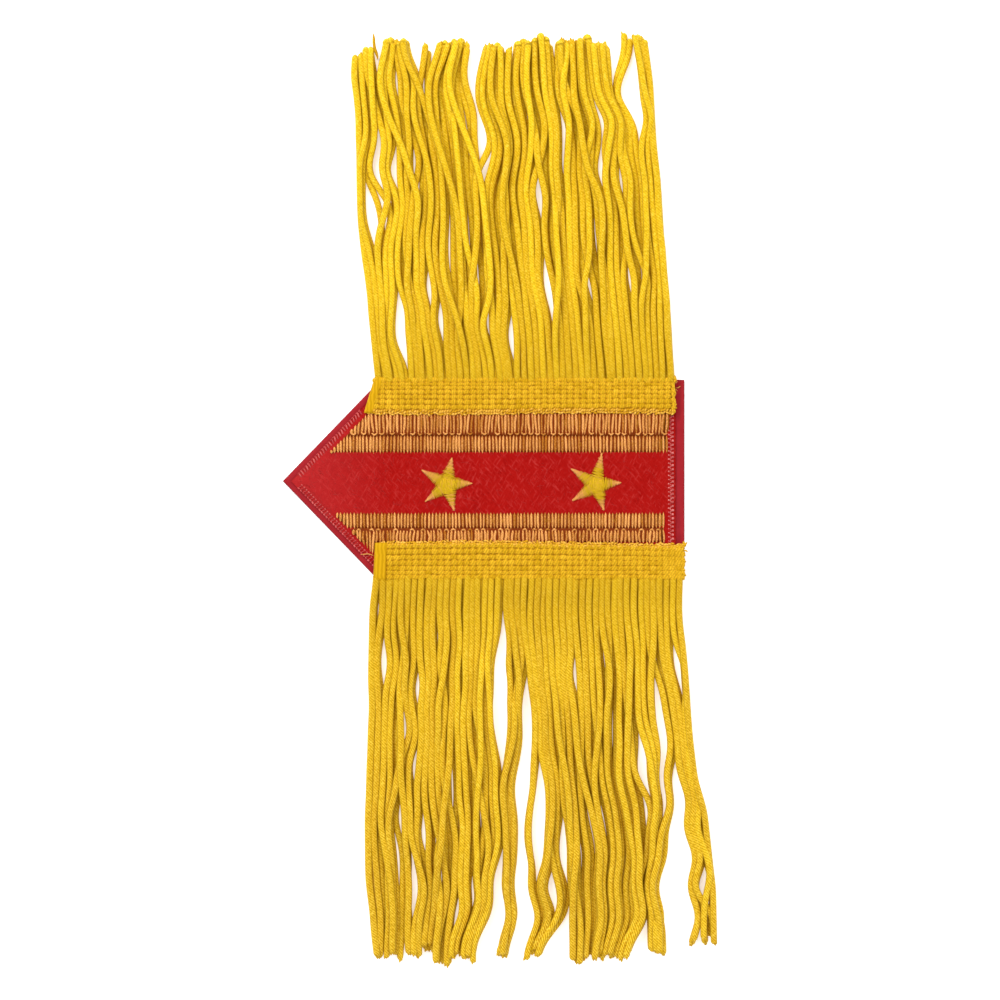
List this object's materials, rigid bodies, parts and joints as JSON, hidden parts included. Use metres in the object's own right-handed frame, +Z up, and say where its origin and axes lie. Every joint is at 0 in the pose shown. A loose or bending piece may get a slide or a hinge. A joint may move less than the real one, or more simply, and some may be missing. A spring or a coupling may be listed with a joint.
{
  "type": "tassel epaulette",
  "caption": "Flat pointed shoulder board in red felt with stitched stripes and stars, and a gold cord fringe hanging from a woven heading along each long edge.",
  "frame": {"origin": "middle of the board's underside, on the face it lies on", "axes": "+X along the board, away from its point; +Y across the board, towards the fringe that hangs from its upper edge; +Z up out of the stitched face"},
  "size_m": [0.1415, 0.2995, 0.0046],
  "materials": {
    "backing_cloth": "plain woven crimson cloth with coloured edge stitching",
    "felt": "matt red felt",
    "stripe_thread": "orange-gold satin stitching, lightly shining",
    "star_thread": "gold satin stitching, lightly shining",
    "fringe_cord": "twisted gold-yellow cord with a soft shine"
  },
  "bodies": {
    "root": {"backing_board": "backing_cloth", "felt_face": "felt", "stripe_upper_outer": "stripe_thread", "stripe_upper_inner": "stripe_thread", "stripe_lower_inner": "stripe_thread", "stripe_lower_outer": "stripe_thread", "star_front": "star_thread", "star_rear": "star_thread", "fringe_upper": "fringe_cord", "fringe_lower": "fringe_cord"}
  },
  "joints": []
}
